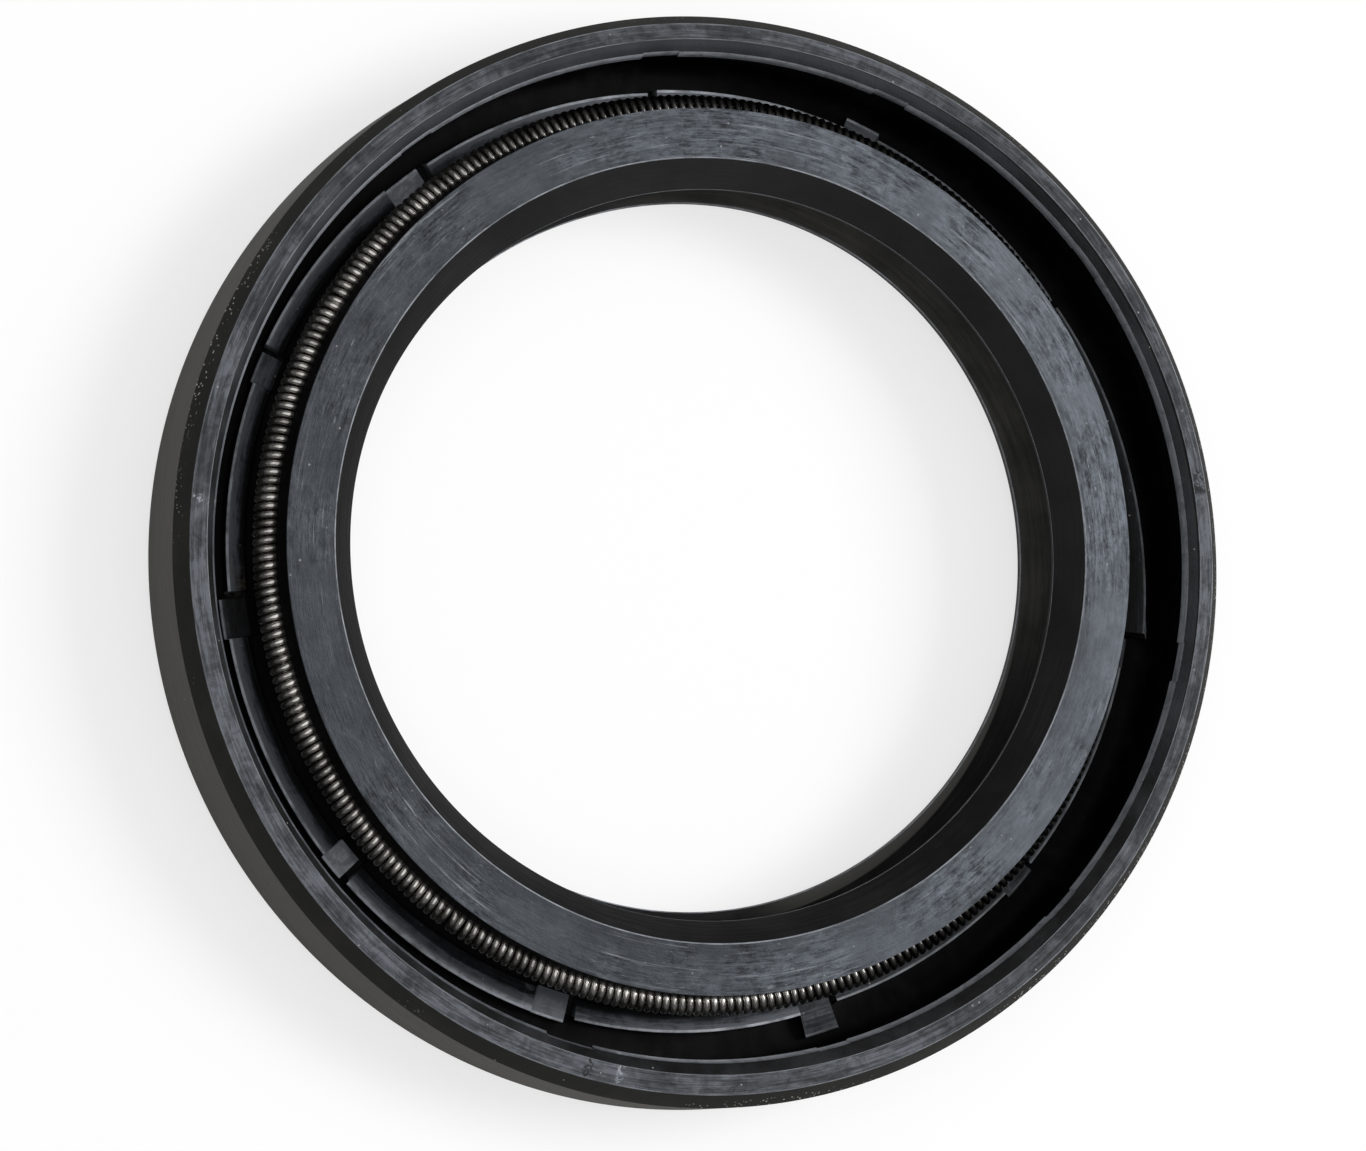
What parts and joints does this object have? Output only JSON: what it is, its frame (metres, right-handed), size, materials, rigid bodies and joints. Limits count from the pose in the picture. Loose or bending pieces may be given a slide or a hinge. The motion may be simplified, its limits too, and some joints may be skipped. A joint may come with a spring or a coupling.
{
  "type": "radial shaft seal",
  "caption": "Round rubber-covered seal for a turning shaft, with a steel case, a garter spring behind the sealing lip and a second lip that keeps dust out.",
  "frame": {"origin": "on the shaft axis, in the plane of the back (air side) face that the seal lies on", "axes": "+Z along the shaft axis towards the oil side, where the garter spring shows; X and Y across the seal, with the mould marks counted from +X"},
  "size_m": [0.065, 0.065, 0.0091],
  "materials": {
    "rubber": "matt moulded nitrile rubber with fine handling scuffs",
    "case_steel": "deep-drawn steel sheet under a dark bonding primer",
    "spring_steel": "oiled drawn spring wire"
  },
  "bodies": {
    "root": {"rubber_body": "rubber", "steel_case": "case_steel", "garter_spring": "spring_steel"}
  },
  "joints": []
}
